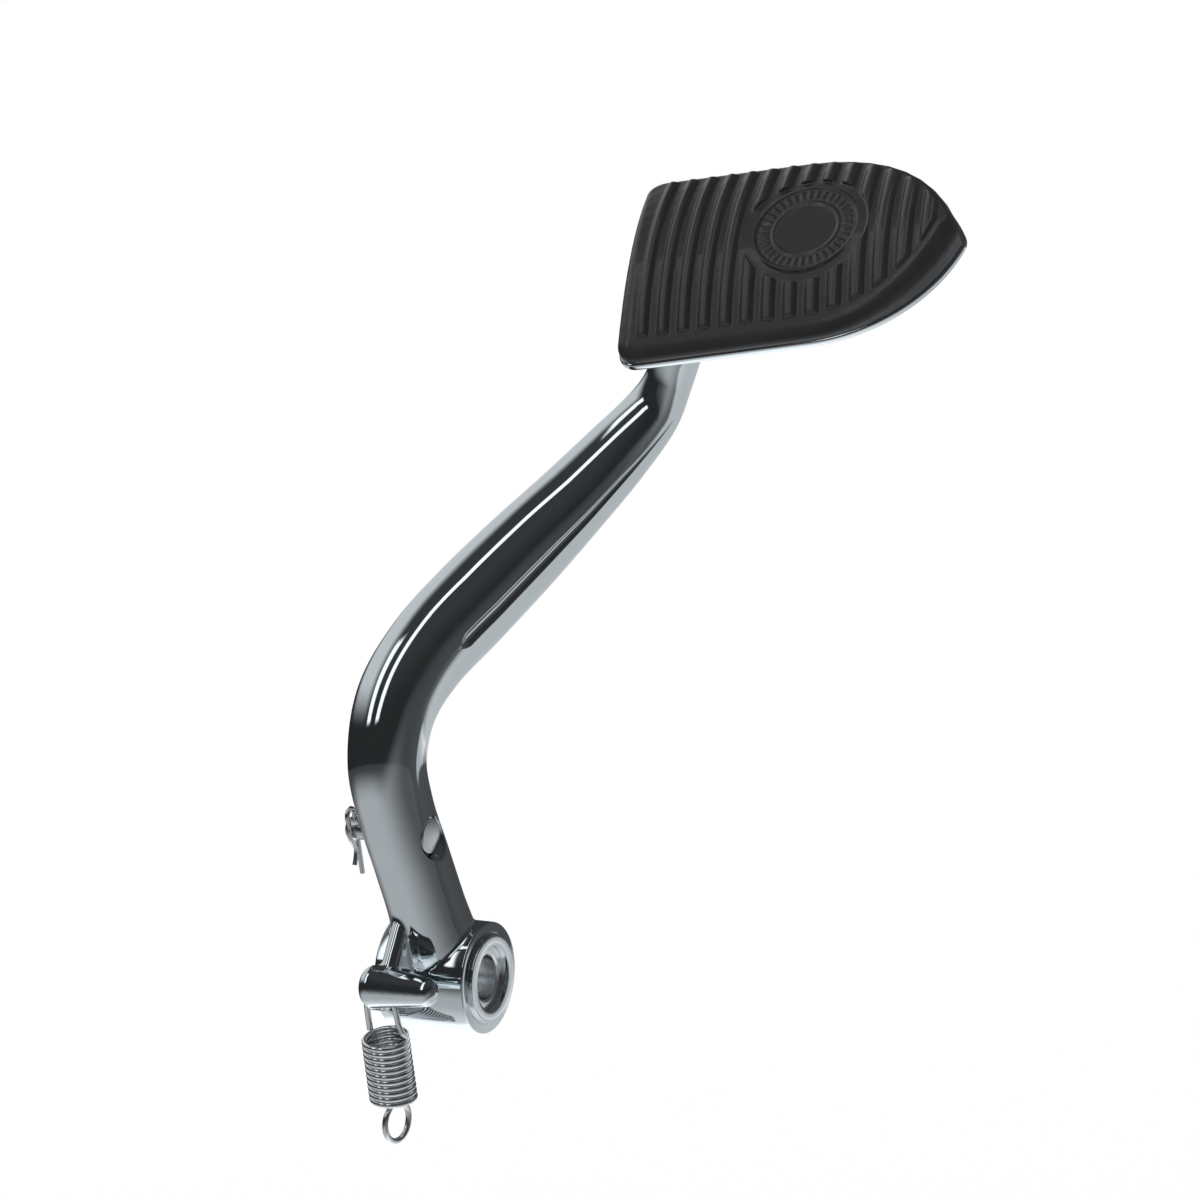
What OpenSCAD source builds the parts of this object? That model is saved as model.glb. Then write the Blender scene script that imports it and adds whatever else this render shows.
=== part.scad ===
// Rear brake pedal for a cruiser motorbike: a chromed forging with a ribbed rubber foot pad.
// The pivot runs along X, with +X away from the motorbike, +Y forward and +Z up.
// The origin is on the pivot's axis, halfway along the hub.

/* [Hub] */
// Outer radius of the pivot hub
hub_r = 15; // [14:0.1:17]
// Length of the hub between its two flat ends
hub_len = 26.6; // [24:0.1:34]
// Radius of the raised seal land on each end of the hub
land_r = 12; // [10.5:0.1:13]
// How far each seal land stands out of the hub's end
land_h = 1.4; // [0.5:0.1:3]
// Radius of the bore that the bushes are pressed into
bush_seat_r = 8.7; // [8:0.1:9.8]
// Radius of the pivot shaft's bore in the bushes
pivot_r = 6; // [5:0.1:7]
// Length of one bush
bush_len = 9.5; // [6:0.5:11]
// Depth of a bush's end face below the seal land
bush_recess = 1.8; // [0.5:0.1:3]

/* [Arm] */
// Half of the arm's width from side to side, at the hub
arm_root_half = 10.2; // [8:0.1:11]
// Half of the arm's depth from front to back, at the hub
arm_root_depth = 10.8; // [9:0.1:12]
// Half of the arm's width where it bends forward
arm_bend_half = 10.2; // [8:0.1:11]
// Half of the arm's depth where it bends forward
arm_bend_depth = 12; // [10:0.1:13]
// Half of the arm's width at the slender neck under the foot plate
arm_neck_half = 7.4; // [6:0.1:9]
// Half of the arm's depth at the neck
arm_neck_depth = 7.3; // [6:0.1:9]
// Squareness of the arm's section: 2 is an ellipse, and more is boxier
arm_square = 2.3; // [2:0.1:3]
// Radius of the round-bottomed styling groove in the arm's outer side
groove_r = 3.4; // [2:0.1:4]

/* [Foot plate] */
// Length of the foot plate, from its inner end to its tip
plate_len = 93; // [88:0.5:104]
// Width of the foot plate
plate_w = 62; // [56:0.2:68]
// Thickness of the foot plate
plate_t = 2.3; // [2:0.1:4]
// Radius of the foot plate's two inner corners
plate_corner_r = 5.5; // [5.5:0.1:9]
// Radius of the round tip
plate_tip_r = 6; // [5:0.1:9]
// Radius of the long curve from the front edge into the tip
front_nose_r = 51; // [47:1:66]
// Radius of the long curve from the rear edge into the tip
rear_nose_r = 43; // [40:1:60]
// Rise of the foot plate's length towards its tip, in degrees
plate_rise = 6.6; // [3:0.1:10]
// Lean of the foot plate's width, from its rear edge up to its front edge, in degrees
plate_lean = 23.6; // [18:0.1:30]

/* [Rubber pad] */
// How far the rubber's edge is set in from the foot plate's edge
pad_inset = 0.4; // [0.1:0.1:0.8]
// Height of the pad's crown above the foot plate
pad_h = 9.5; // [8:0.1:12]
// Radius of the pad's crown, across its width
crown_r = 72; // [60:1:150]
// Width of the pad's rounded rim along its rear edge
rim_rear = 4.6; // [3:0.1:4.7]
// Width of the pad's rounded rim along its front edge
rim_front = 1.8; // [1:0.1:5]
// Number of raised ribs
rib_count = 14; // [8:1:16]
// Distance from one rib to the next
rib_pitch = 5.5; // [5:0.1:5.8]
// Width of the innermost rib
rib_w = 2.7; // [2:0.1:3.2]
// Height of a rib above the crown
rib_h = 1.1; // [0.5:0.1:2]
// Outer radius of the round badge bead
badge_r = 14.9; // [12:0.1:17]
// Radius of a moulded stud that holds the pad to its plate
stud_r = 3; // [2:0.1:4]

/* [Rod pin] */
// Radius of the pin that carries the brake rod's eye
pin_r = 3; // [2.5:0.1:4]
// Radius of the pin's flat head
pin_head_r = 4.8; // [4:0.1:6]
// Thickness of the pin's head
pin_head_t = 2; // [1:0.1:3]
// Height of the pin's axis above the pivot
pin_z = 43.4; // [41:0.1:46]
// Width of the slot for the rod's eye
slot_w = 8; // [6:0.1:9]
// Radius of the slot's round rear end
slot_r = 5.6; // [5:0.1:6]
// Thickness of the hairpin clip's wire
clip_wire = 1.3; // [1:0.1:1.6]

/* [Spring stud and ear] */
// Radius of the spring stud at its thick inner end
stud_thick_r = 5.9; // [5:0.1:6]
// Radius of the spring stud at its slim outer end
stud_slim_r = 3.9; // [3:0.1:5]
// Length of the spring stud
stud_len = 22.6; // [20:0.1:26]
// Thickness of the web from the arm to the stud, and of the spring's ear
web_t = 4.8; // [4:0.1:5]
// Radius of the spring's hole in the ear
ear_hole_r = 1.6; // [1.4:0.1:1.8]

/* [Return spring] */
// Outer radius of the spring's coils
coil_r = 6.5; // [6:0.1:6.6]
// Thickness of the spring's wire
spring_wire = 1.65; // [1.2:0.05:1.8]
// Number of close turns
coil_turns = 11; // [8:1:14]
// Radius of the upper hook, at the middle of its wire
hook_r = 4.3; // [4:0.1:4.6]
// Radius of the lower loop, at the middle of its wire
loop_r = 5.3; // [4:0.1:5.6]

/* [Fits] */
// Clearance all round the rod pin in its holes
pin_fit = 0.05; // [0.02:0.01:0.1]
// Clearance all round a bush in its seat
bush_fit = 0.02; // [0.01:0.01:0.05]
// Clearance all round a rubber stud in its hole
stud_fit = 0.1; // [0.05:0.05:0.3]

/* [Hidden] */
$fn = 64;

// Turning the foot plate's frame into the pedal's frame
plate_yaw = 15.8;
plate_turn = [plate_lean, -plate_rise, plate_yaw];
plate_centre = [62.7, 127.8, 156.1];
plate_x = turned([1, 0, 0], plate_turn);
plate_y = turned([0, 1, 0], plate_turn);
plate_z = turned([0, 0, 1], plate_turn);

// The foot plate's outline: straight sides, long nose curves, a round tip and a slanted inner end
tip_shift = 2;
front_half = plate_w / 2 + tip_shift;
rear_half = plate_w / 2 - tip_shift;
plate_skew = 0.07;

// The pad's pattern
rim_rings = 6;
rim_wall = 0.45;
cap_strips = 12;
crown_shift = 2;
rib_front_inset = 2.7;
rib_rear_inset = 5.6;
rib_first = 7.9;
rib_growth = 0.1;
rib_spread = 0.038;
badge_x = 50.8;
badge_y = 3.7;
badge_clear = 2.8;
badge_bead = 1.1;
badge_inner_r = 9.2;
badge_rays = 36;
ray_w = 0.7;
ray_h = 0.8;
ray_gap = 1.4;
ray_end = 1.8;
badge_top = 8.7;
badge_deep = 6;
stud_places = [[9, 20], [50, 22], [56, -17], [80, 0]];
stud_head_r = stud_r + 1.6;
stud_head_h = 2.4;
stud_gap = 0.1;

// The arm's path: each station is [x, y, z, half width, half depth]
arm_stations = [
    [0, -1, -4, arm_root_half + 1.4, arm_root_depth + 0.6],
    [0, -2.2, 11, arm_root_half + 1, arm_root_depth + 0.4],
    [-0.8, -3, 21, arm_root_half, arm_root_depth],
    [-3, -3.6, 35, arm_root_half - 0.2, arm_root_depth],
    [-5.2, -4.6, 50, arm_bend_half - 0.4, arm_root_depth + 0.4],
    [-6.6, -3.2, 64, arm_bend_half - 0.2, arm_bend_depth],
    [-6.6, 5.6, 76.5, arm_bend_half + 0.3, arm_bend_depth],
    [-4, 19.5, 84.6, arm_bend_half + 0.1, arm_bend_depth - 0.4],
    [0.6, 38, 90.9, arm_bend_half + 0.2, arm_bend_depth - 0.6],
    [7, 57.5, 98, arm_bend_half - 0.3, arm_bend_depth - 1.2],
    [13.6, 75, 105.2, arm_neck_half + 1.8, arm_neck_depth + 2],
    [20, 90, 112.3, arm_neck_half + 1, arm_neck_depth + 1],
    [26.6, 100.6, 120.2, arm_neck_half, arm_neck_depth],
    [31.2, 105.2, 128.6, arm_neck_half - 1.2, arm_neck_depth - 0.4],
    [33.6, 107, 136, arm_neck_half - 0.8, arm_neck_depth]
];
arm_steps = 3;
flare_steps = 8;
flare_x = 15;
flare_y = -11;
flare_half = 9.4;
flare_depth = 13;

// The styling groove, as station numbers where it starts and ends
groove_from = 7.2;
groove_to = 12.7;
groove_angle = -10;
groove_span = 16;
groove_depth = 0.5;

// The rod pin, its slot and its clip
pin_y = -4.8;
pin_face_x = 2.6;
spot_r = pin_head_r + 0.4;
slot_mid_x = -4.9;
clip_x = -18;
pin_end = clip_x - 2;
pin_float = 0.1;
clip_hole_r = clip_wire / 2 + 0.1;
clip_bow = pin_r + clip_wire / 2 + 0.3;
clip_loop_z = pin_r + 1.6;

// The spring stud, its web and the spring's ear
stud_y = -25.2;
stud_z = 7.4;
stud_from = -10.7;
web_x = -4;
ear_x = -9.2;
ear_y = -19.6;
ear_z = 1.8;
ear_r = 4.2;

// The return spring, hung from the ear's hole
wire_r = spring_wire / 2;
coil_mid_r = coil_r - wire_r;
hang_fit = 0.1;
hook_inside = sqrt(pow(hook_r - wire_r, 2) - pow(web_t / 2, 2));
hang_z = ear_z - ear_hole_r + hook_r - hook_inside + hang_fit;
hook_drop = 12.4;
loop_turn = 82;
coil_run = coil_turns + 0.3;
coil_top = hang_z - hook_drop;
coil_low = coil_top - coil_run * spring_wire;
turn_steps = 14;
wire_sides = 8;

function unit(v) = v / norm(v);
function mixed(a, b, t) = a + (b - a) * t;
function turn_x(v, a) = [v.x, v.y * cos(a) - v.z * sin(a), v.y * sin(a) + v.z * cos(a)];
function turn_y(v, a) = [v.x * cos(a) + v.z * sin(a), v.y, v.z * cos(a) - v.x * sin(a)];
function turn_z(v, a) = [v.x * cos(a) - v.y * sin(a), v.x * sin(a) + v.y * cos(a), v.z];
function spot(v) = [v[0], v[1], v[2]];
function turned(v, a) = turn_z(turn_y(turn_x(v, a[0]), a[1]), a[2]);

// One side of the plate's outline, from its inner corner to its tip, drawn in by an inset
tip_steps = 4;
function nose_sweep(half, r) = acos((r - half) / (r - plate_tip_r));
function nose_start(half, r) = plate_len - plate_tip_r - (r - plate_tip_r) * sin(nose_sweep(half, r));
function plate_side(half, r, inset, tip_inset) = concat(
    [for (a = [180:-15:90]) [plate_corner_r, half - plate_corner_r]
        + (plate_corner_r - inset) * [cos(a), sin(a)]],
    [for (i = [0:9]) let (a = nose_sweep(half, r) * i / 9) [nose_start(half, r), half - r]
        + (r - inset) * [sin(a), cos(a)]],
    [for (i = [1:tip_steps - 1]) let (a = mixed(nose_sweep(half, r), 90, i / tip_steps))
        [plate_len - plate_tip_r, 0]
        + (plate_tip_r - mixed(inset, tip_inset, i / tip_steps)) * [sin(a), cos(a)]]
);
function front_side(inset, tip_inset) = plate_side(front_half, front_nose_r, inset, tip_inset);
function rear_side(inset, tip_inset) = plate_side(rear_half, rear_nose_r, inset, tip_inset);
function plate_tip(inset) = [plate_len - inset, 0];
function flipped(side) = [for (i = [len(side) - 1:-1:0]) [side[i].x, -side[i].y]];
function slanted(x, y) = x + plate_skew * y * (1 - x / plate_len);
function plate_outline(inset) = [for (p = concat(
    front_side(inset, inset),
    [plate_tip(inset)],
    flipped(rear_side(inset, inset))
)) [slanted(p.x, p.y), p.y]];

// A smooth curve through the stations
function curve(p, i, t) =
    let (a = p[max(i - 1, 0)], b = p[i], c = p[min(i + 1, len(p) - 1)], d = p[min(i + 2, len(p) - 1)])
    0.5 * (2 * b + (c - a) * t + (2 * a - 5 * b + 4 * c - d) * t * t + (3 * b - a - 3 * c + d) * t * t * t);
function curve_at(p, s) =
    let (i = max(0, min(floor(s), len(p) - 2)))
    curve(p, i, s - i);

// A rounded section in the plane of two unit vectors, with the groove pressed into it
function corner(v, n) = sign(v) * pow(abs(v), 2 / n);
section_angles = concat(
    [for (a = [-groove_span:4:groove_span - 1]) groove_angle + a],
    [for (i = [0:27]) groove_angle + groove_span + i * (360 - 2 * groove_span) / 28]
);
function groove_half(s) =
    let (t = (s - groove_from) / (groove_to - groove_from))
    t <= 0 || t >= 1 ? 0 : groove_r * 0.62 * sqrt(min(1, t / 0.08)) * (1 - t * t);
function groove_cut(s, angle, r) =
    let (w = groove_half(s), d = abs(angle - groove_angle) * PI * r / 180)
    d >= w ? 0 : groove_depth * w * pow(cos(90 * d / w), 0.7);
function ring(centre, side, depth, a, b, s) = [for (angle = section_angles)
    let (shrink = 1 - groove_cut(s, angle, a) / a)
    centre + side * a * shrink * corner(cos(angle), arm_square)
        + depth * b * shrink * corner(sin(angle), arm_square)];

function arm_side(way) = unit([1, 0, 0] - way * way.x);
function arm_ring(s) =
    let (p = curve_at(arm_stations, s))
    let (way = unit(spot(curve_at(arm_stations, s + 0.02)) - spot(curve_at(arm_stations, s - 0.02))))
    ring(spot(p), arm_side(way), cross(way, arm_side(way)), p[3], p[4], s);

// The neck's last rings flare out and turn until they lie in the foot plate
arm_last = len(arm_stations) - 1.02;
neck = curve_at(arm_stations, arm_last);
neck_way = unit(spot(neck) - spot(curve_at(arm_stations, arm_last - 0.05)));
flare_end = plate_centre + plate_x * (flare_x - plate_len / 2) + plate_y * flare_y - plate_z * plate_t / 2;
function flare_ring(t) = ring(
    mixed(spot(neck) + neck_way * 6 * t * (1 - t), flare_end, t * (0.4 + 0.6 * t)),
    unit(mixed(arm_side(neck_way), plate_x, t)),
    unit(mixed(cross(neck_way, arm_side(neck_way)), plate_y, t)),
    mixed(neck[3], flare_half, pow(t, 3)),
    mixed(neck[4], flare_depth, pow(t, 3)),
    0
);
arm_rings = concat(
    [for (s = [0:1 / arm_steps:arm_last - 0.1]) arm_ring(s)],
    [for (i = [0:flare_steps]) flare_ring(i / flare_steps)]
);

// Faces of a solid made of equal rings, with flat ends
function joined(rings) = [for (r = rings) each r];
function ring_faces(count, n) = concat(
    [[for (j = [0:n - 1]) j]],
    [for (i = [0:count - 2], j = [0:n - 1])
        [i * n + j, (i + 1) * n + j, (i + 1) * n + (j + 1) % n, i * n + (j + 1) % n]],
    [[for (j = [n - 1:-1:0]) (count - 1) * n + j]]
);
module loft(rings) {
    polyhedron(joined(rings), ring_faces(len(rings), len(rings[0])), convexity = 8);
}

// Round wire along a list of points; the way across starts from a given direction
function wire_way(p, i) = unit(p[min(i + 1, len(p) - 1)] - p[max(i - 1, 0)]);
function wire_rings(p, r, across) = [for (i = [0:len(p) - 1])
    let (w = wire_way(p, i), u = unit(across[i] - w * (across[i] * w)), v = cross(w, u))
    [for (a = [0:360 / wire_sides:359]) p[i] + r * (u * cos(a) + v * sin(a))]];
module wire(points, r, across) {
    loft(wire_rings(points, r, across));
}

// The way across a wire, carried from point to point without twisting
function carried(p, start = [0, 1, 0]) = [for (
    i = 0, u = start;
    i < len(p);
    u = i + 1 < len(p) ? unit(u - wire_way(p, i + 1) * (u * wire_way(p, i + 1))) : u, i = i + 1
) u];

module along_x(from, to, r) {
    translate([from, 0, 0]) rotate([0, 90, 0]) cylinder(h = to - from, r = r);
}

module on_plate() {
    translate(plate_centre) rotate(plate_turn) translate([-plate_len / 2, 0, 0]) children();
}

// The hub is turned: a barrel with a raised seal land and small edge breaks on both ends
module hub() {
    edge = 0.5;
    end = hub_len / 2;
    rotate([0, 90, 0]) rotate_extrude($fn = 96) polygon([
        [0, -end - land_h], [land_r - edge / 2, -end - land_h], [land_r, -end - land_h + edge / 2],
        [land_r, -end], [hub_r - edge, -end], [hub_r, -end + edge],
        [hub_r, end - edge], [hub_r - edge, end], [land_r, end],
        [land_r, end + land_h - edge / 2], [land_r - edge / 2, end + land_h], [0, end + land_h]
    ]);
}

module foot_plate() {
    on_plate() difference() {
        translate([0, 0, -plate_t]) linear_extrude(plate_t) polygon(plate_outline(0));
        for (p = stud_places)
            translate([p.x, p.y, -plate_t - 1]) cylinder(h = plate_t + 2, r = stud_r + stud_fit);
    }
}

// A tapered stud with a domed thick end and a rounded slim end, turned about X
module spring_stud() {
    slim_end = stud_len - stud_slim_r * 0.7;
    translate([stud_from, stud_y, stud_z]) rotate([0, 90, 0]) rotate_extrude() polygon(concat(
        [[0, 0]],
        [for (a = [15:15:90]) [stud_thick_r * sin(a), 3.6 * (1 - cos(a))]],
        [for (a = [0:15:90]) [stud_slim_r * cos(a), slim_end + stud_slim_r * 0.7 * sin(a)]]
    ));
}

// The web runs from the back of the arm down to the stud, with a full round on its rear edge
module stud_web() {
    top_y = arm_stations[2].y - arm_root_depth + 3;
    top_z = 21;
    run = [stud_y - top_y, stud_z - top_z];
    rise = atan2(run.y, run.x);
    translate([web_x, top_y, top_z]) rotate([rise, 0, 0]) {
        rotate([-90, 0, 0]) cylinder(h = norm(run), r = web_t / 2);
    }
    translate([web_x + web_t / 2, 0, 0]) rotate([0, -90, 0]) linear_extrude(web_t)
        polygon([[top_z, top_y], [stud_z, stud_y], [stud_z - 1, -12], [top_z - 6, -8]]);
}

// The ear stands on the back of the hub and carries the return spring
module spring_ear() {
    translate([ear_x - web_t / 2, ear_y, ear_z]) rotate([0, 90, 0]) cylinder(h = web_t, r = ear_r);
    translate([ear_x - web_t / 2, ear_y, ear_z - ear_r]) cube([web_t, -ear_y - land_r, 2 * ear_r]);
}

module pedal_arm() {
    color("silver") difference() {
        union() {
            loft(arm_rings);
            hub();
            foot_plate();
            spring_stud();
            stud_web();
            spring_ear();
        }
        along_x(-hub_len, hub_len, bush_seat_r);
        translate([0, ear_y, ear_z]) along_x(ear_x - web_t, ear_x + web_t / 2 + 0.6, ear_hole_r);
        translate([0, pin_y, pin_z]) {
            along_x(-30, 30, pin_r + pin_fit);
            along_x(pin_face_x, 20, spot_r);
            along_x(slot_mid_x - slot_w / 2, slot_mid_x + slot_w / 2, slot_r);
            translate([slot_mid_x - slot_w / 2, 0, -slot_r]) cube([slot_w, 30, 2 * slot_r]);
        }
    }
}

// The pad's crowned top: height above the plate at a place across it
function crown(y) = pad_h - crown_r + sqrt(crown_r * crown_r - pow(y - crown_shift, 2));

// The pad's rim is a stack of outlines that draw in as they rise
function rim_set(width, i) = pad_inset + width * (1 - cos(90 * i / rim_rings));
function rim_height(i) = i < 0 ? 0 : mixed(rim_wall, 1, sin(90 * i / rim_rings));
function pad_ring(i) =
    let (front = rim_set(rim_front, max(i, 0)), rear = rim_set(rim_rear, max(i, 0)))
    let (tip = (front + rear) / 2)
    let (k = rim_height(i), outline = concat(
        front_side(front, tip),
        [plate_tip(tip)],
        flipped(rear_side(rear, tip)),
        [for (j = [1:cap_strips - 1]) [
            mixed(rear, front, j / cap_strips),
            mixed(plate_corner_r - rear_half, front_half - plate_corner_r, j / cap_strips)
        ]]
    ))
    [for (j = [len(outline) - 1:-1:0])
        [slanted(outline[j].x, outline[j].y), outline[j].y, crown(outline[j].y) * k]];

// The crowned cap is closed by strips that run across the pad between the rim's two long sides
module pad_body() {
    rings = [for (i = [-1:rim_rings]) pad_ring(i)];
    ring_n = len(rings[0]);
    top = (len(rings) - 1) * ring_n;
    front_set = rim_set(rim_front, rim_rings);
    rear_set = rim_set(rim_rear, rim_rings);
    front = front_side(front_set, (front_set + rear_set) / 2);
    rear = rear_side(rear_set, (front_set + rear_set) / 2);
    n = len(front);
    inside = [for (i = [1:n - 1], j = [1:cap_strips - 1])
        let (y = mixed(-rear[i].y, front[i].y, j / cap_strips))
        [slanted(mixed(rear[i].x, front[i].x, j / cap_strips), y), y, crown(y)]];
    function cap(i, j) =
        j == 0 ? top + ring_n - 1 - 2 * n + i :
        j == cap_strips ? top + ring_n - 1 - i :
        i == 0 ? top + ring_n - 1 - 2 * n - j :
        top + ring_n + (i - 1) * (cap_strips - 1) + j - 1;
    tip = top + ring_n - 1 - n;
    walls = ring_faces(len(rings), ring_n);
    points = concat(joined(rings), inside, [[plate_len / 2, 0, 0]]);
    polyhedron(
        points,
        concat(
            [for (j = [0:ring_n - 1]) [j, (j + 1) % ring_n, len(points) - 1]],
            [for (i = [1:len(walls) - 2]) walls[i]],
            [for (i = [0:n - 2], j = [0:cap_strips - 1])
                [cap(i, j), cap(i, j + 1), cap(i + 1, j + 1), cap(i + 1, j)]],
            [for (j = [0:cap_strips - 1]) [cap(n - 1, j), cap(n - 1, j + 1), tip]]
        ),
        convexity = 6
    );
}

// Each rib is a round-topped bar bent to the crown's radius
module rib(wide) {
    half = wide / 2;
    translate([0, crown_shift, pad_h - crown_r]) rotate([0, 90, 0]) rotate([0, 0, 150])
        rotate_extrude(angle = 60, $fn = 160) polygon([
            [crown_r - 1, -half], [crown_r + 0.3 * rib_h, -half], [crown_r + 0.8 * rib_h, -0.66 * half],
            [crown_r + rib_h, -0.25 * half], [crown_r + rib_h, 0.25 * half],
            [crown_r + 0.8 * rib_h, 0.66 * half], [crown_r + 0.3 * rib_h, half], [crown_r - 1, half]
        ]);
}

module rib_field() {
    far = plate_len + plate_w;
    intersection() {
        for (i = [0:rib_count - 1]) let (x = rib_first + i * (rib_pitch + i * rib_spread))
            translate([x, 0, 0]) rotate([0, 0, -atan(plate_skew * (1 - x / plate_len))])
                rib(rib_w + i * rib_growth);
        union() {
            linear_extrude(2 * pad_h) intersection() {
                polygon(plate_outline(rib_front_inset));
                translate([-1, 0]) square(far);
            }
            linear_extrude(2 * pad_h) intersection() {
                polygon(plate_outline(rib_rear_inset));
                translate([-1, -far]) square(far);
            }
        }
    }
}

// A plain round badge, laid along the crown: a bead, an inner ring and a ring of short rays
module at_badge() {
    translate([badge_x, badge_y, badge_top])
        rotate([-asin((badge_y - crown_shift) / crown_r), 0, 0]) children();
}

module badge() {
    translate([0, 0, -badge_deep]) cylinder(h = badge_deep, r = badge_r);
    rotate_extrude() translate([badge_r - badge_bead / 2, 0]) circle(d = badge_bead, $fn = 12);
    rotate_extrude() translate([badge_inner_r, 0]) circle(d = badge_bead * 0.7, $fn = 12);
    for (i = [0:badge_rays - 1]) rotate([0, 0, i * 360 / badge_rays])
        translate([badge_inner_r + ray_gap, -ray_w / 2, -ray_h / 2])
            cube([badge_r - badge_inner_r - ray_gap - ray_end, ray_w, ray_h]);
}

module pad_stud() {
    deep = plate_t + stud_gap;
    translate([0, 0, -deep]) cylinder(h = deep + 1, r = stud_r);
    translate([0, 0, -deep - stud_head_h]) cylinder(h = stud_head_h, r1 = stud_r * 0.7, r2 = stud_head_r);
}

module pedal_pad() {
    color([0.13, 0.13, 0.14]) on_plate() {
        difference() {
            pad_body();
            at_badge() translate([0, 0, -badge_deep / 2]) cylinder(h = pad_h, r = badge_r - badge_bead / 2);
        }
        difference() {
            rib_field();
            translate([badge_x, badge_y, 0]) cylinder(h = 2 * pad_h, r = badge_r + badge_clear);
        }
        at_badge() badge();
        for (p = stud_places) translate(p) pad_stud();
    }
}

// A plain bush with a small lead at both ends of its bore
module bush() {
    lead = 0.5;
    r = bush_seat_r - bush_fit;
    rotate([0, 90, 0]) rotate_extrude($fn = 96) polygon([
        [pivot_r + lead, 0], [r - lead / 2, 0], [r, lead / 2], [r, bush_len - lead / 2],
        [r - lead / 2, bush_len], [pivot_r + lead, bush_len], [pivot_r, bush_len - lead], [pivot_r, lead]
    ]);
}

bush_face = hub_len / 2 + land_h - bush_recess;

module outer_bush() {
    color([0.5, 0.5, 0.5]) translate([bush_face - bush_len, 0, 0]) bush();
}

module inner_bush() {
    color([0.5, 0.5, 0.5]) translate([-bush_face, 0, 0]) bush();
}

// The pin's flat head sits in the spot face; its far end is cross-drilled for the clip
module rod_pin() {
    lead = 0.6;
    head_face = pin_face_x + pin_float;
    color([0.7, 0.7, 0.72]) translate([0, pin_y, pin_z]) difference() {
        rotate([0, 90, 0]) rotate_extrude($fn = 48) polygon([
            [0, pin_end], [pin_r - lead, pin_end], [pin_r, pin_end + lead], [pin_r, head_face],
            [pin_head_r, head_face], [pin_head_r, head_face + pin_head_t - lead / 2],
            [pin_head_r - lead / 2, head_face + pin_head_t], [0, head_face + pin_head_t]
        ]);
        translate([clip_x, 0, -2 * pin_r]) cylinder(h = 4 * pin_r, r = clip_hole_r);
    }
}

// The clip's straight leg goes through the pin, and its bowed leg grips the pin's side
clip_loop_r = clip_bow / 2;
clip_path = concat(
    [for (z = [-13.3:3:clip_loop_z]) [0, z]],
    [for (a = [0:20:180]) [-clip_loop_r + clip_loop_r * cos(a), clip_loop_z + clip_loop_r * sin(a)]],
    [for (a = [150:15:225]) clip_bow * [cos(a), sin(a)]],
    [[-1.9, -4.4], [-1.5, -5.4], [-1.7, -6.6], [-2.7, -8.3], [-3.5, -9.4]]
);

module hairpin_clip() {
    color([0.75, 0.75, 0.77]) translate([clip_x, pin_y, pin_z])
        wire([for (p = clip_path) [0, p.x, p.y]], clip_wire / 2, [for (p = clip_path) [1, 0, 0]]);
}

// The spring's wire: upper hook, close coils and lower loop as one run of points
hook_points = concat(
    [for (z = [coil_top + 1.6, (coil_top + hang_z - hook_r) / 2]) [-hook_r, 0, z]],
    [for (a = [180:-18:0]) [hook_r * cos(a), 0, hang_z - hook_r + hook_r * sin(a)]],
    [[hook_r + 0.3, -0.1, coil_top + 4.4], [coil_mid_r - 0.4, -0.2, coil_top + 1.9]]
);
coil_points = [for (i = [0:coil_run * turn_steps])
    let (a = 10 + i * 360 / turn_steps)
    [coil_mid_r * cos(a), coil_mid_r * sin(a), coil_top - i * spring_wire / turn_steps]];
loop_mid = coil_low - loop_r - wire_r - 0.5;
loop_points = [for (a = [52:-16:-240])
    [loop_r * cos(a) * cos(loop_turn), loop_r * cos(a) * sin(loop_turn), loop_mid + loop_r * sin(a)]];
spring_points = concat(hook_points, coil_points, loop_points);

module return_spring() {
    color([0.55, 0.56, 0.58]) translate([ear_x, ear_y, 0])
        wire(spring_points, wire_r, carried(spring_points));
}

pedal_arm();
pedal_pad();
outer_bush();
inner_bush();
rod_pin();
hairpin_clip();
return_spring();
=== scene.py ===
import math

import bmesh
import bpy
from mathutils import Matrix, Vector
from mathutils.bvhtree import BVHTree


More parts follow.
